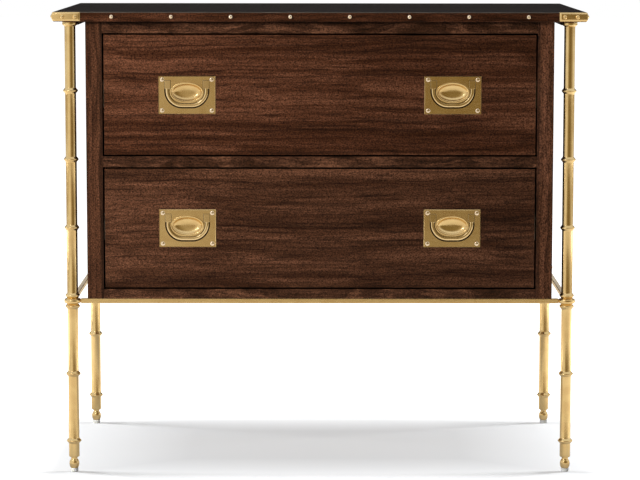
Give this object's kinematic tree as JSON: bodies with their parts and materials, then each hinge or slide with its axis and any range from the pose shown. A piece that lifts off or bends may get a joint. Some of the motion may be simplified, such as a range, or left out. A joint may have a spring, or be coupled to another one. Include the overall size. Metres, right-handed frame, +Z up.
{
  "type": "chest of drawers",
  "caption": "Campaign-style chest with flush-pull drawers on telescopic slides, carried by ringed brass posts, legs and rails",
  "frame": {"origin": "on the floor under the middle of the chest", "axes": "+X to the right seen from the front, +Y towards the back, +Z up; the drawers open towards -Y"},
  "size_m": [0.8748, 0.4678, 0.762],
  "materials": {
    "walnut": "dark satin lacquer",
    "top_finish": "charcoal-stained satin lacquer",
    "drawer_wood": "clear lacquered secondary wood",
    "brass": "brushed and lacquered",
    "pale_brass": "polished heads",
    "slide_steel": "zinc-plated",
    "nylon": "moulded"
  },
  "bodies": {
    "chest": {"back_panel": "walnut", "bottom_panel": "drawer_wood", "bottom_rail": "walnut", "foot_glides": "nylon", "front_brass_rail": "brass", "front_left_corner_bracket": "brass", "front_left_upper_post": "brass", "front_lower_legs": "brass", "front_right_corner_bracket": "brass", "front_right_upper_post": "brass", "joint_studs": "slide_steel", "left_brass_rail": "brass", "left_side_panel": "walnut", "left_stile": "walnut", "lower_case_slides": "slide_steel", "mid_rail": "walnut", "rail_corner_discs": "brass", "rear_brass_rail": "brass", "rear_left_corner_bracket": "brass", "rear_left_upper_post": "brass", "rear_lower_legs": "brass", "rear_right_corner_bracket": "brass", "rear_right_upper_post": "brass", "right_brass_rail": "brass", "right_side_panel": "walnut", "right_stile": "walnut", "slide_packing_strips": "drawer_wood", "top_battens": "walnut", "top_nails": "pale_brass", "top_rail": "walnut", "top_slab": "top_finish", "top_stretchers": "drawer_wood", "upper_case_slides": "slide_steel"},
    "upper_drawer": {"upper_drawer_back": "drawer_wood", "upper_drawer_bottom": "drawer_wood", "upper_drawer_front": "walnut", "upper_drawer_left_side": "drawer_wood", "upper_drawer_right_side": "drawer_wood", "upper_drawer_slides": "slide_steel", "upper_pull_plates": "brass", "upper_pull_screws": "pale_brass"},
    "upper_slide_middle": {"upper_middle_slides": "slide_steel"},
    "upper_left_bail": {"upper_left_bail": "brass"},
    "upper_right_bail": {"upper_right_bail": "brass"},
    "lower_drawer": {"lower_drawer_back": "drawer_wood", "lower_drawer_bottom": "drawer_wood", "lower_drawer_front": "walnut", "lower_drawer_left_side": "drawer_wood", "lower_drawer_right_side": "drawer_wood", "lower_drawer_slides": "slide_steel", "lower_pull_plates": "brass", "lower_pull_screws": "pale_brass"},
    "lower_slide_middle": {"lower_middle_slides": "slide_steel"},
    "lower_left_bail": {"lower_left_bail": "brass"},
    "lower_right_bail": {"lower_right_bail": "brass"}
  },
  "joints": [
    {"name": "upper_drawer_slide", "type": "slide", "parent": "chest", "child": "upper_drawer", "axis": [0, -1, 0], "range_m": [0, 0.35]},
    {"name": "upper_middle_slide", "type": "slide", "parent": "chest", "child": "upper_slide_middle", "axis": [0, -1, 0], "range_m": [0, 0.175]},
    {"name": "upper_left_bail_hinge", "type": "hinge", "parent": "upper_drawer", "child": "upper_left_bail", "pos_m": [-0.217, -0.2072, 0.6482], "axis": [-1, 0, 0], "range_deg": [0, 90]},
    {"name": "upper_right_bail_hinge", "type": "hinge", "parent": "upper_drawer", "child": "upper_right_bail", "pos_m": [0.217, -0.2072, 0.6482], "axis": [-1, 0, 0], "range_deg": [0, 90]},
    {"name": "lower_drawer_slide", "type": "slide", "parent": "chest", "child": "lower_drawer", "axis": [0, -1, 0], "range_m": [0, 0.35]},
    {"name": "lower_middle_slide", "type": "slide", "parent": "chest", "child": "lower_slide_middle", "axis": [0, -1, 0], "range_m": [0, 0.175]},
    {"name": "lower_left_bail_hinge", "type": "hinge", "parent": "lower_drawer", "child": "lower_left_bail", "pos_m": [-0.217, -0.2072, 0.4292], "axis": [-1, 0, 0], "range_deg": [0, 90]},
    {"name": "lower_right_bail_hinge", "type": "hinge", "parent": "lower_drawer", "child": "lower_right_bail", "pos_m": [0.217, -0.2072, 0.4292], "axis": [-1, 0, 0], "range_deg": [0, 90]}
  ],
  "couplings": [
    {"joint": "upper_middle_slide", "follows": "upper_drawer_slide", "ratio": 0.5},
    {"joint": "lower_middle_slide", "follows": "lower_drawer_slide", "ratio": 0.5}
  ]
}
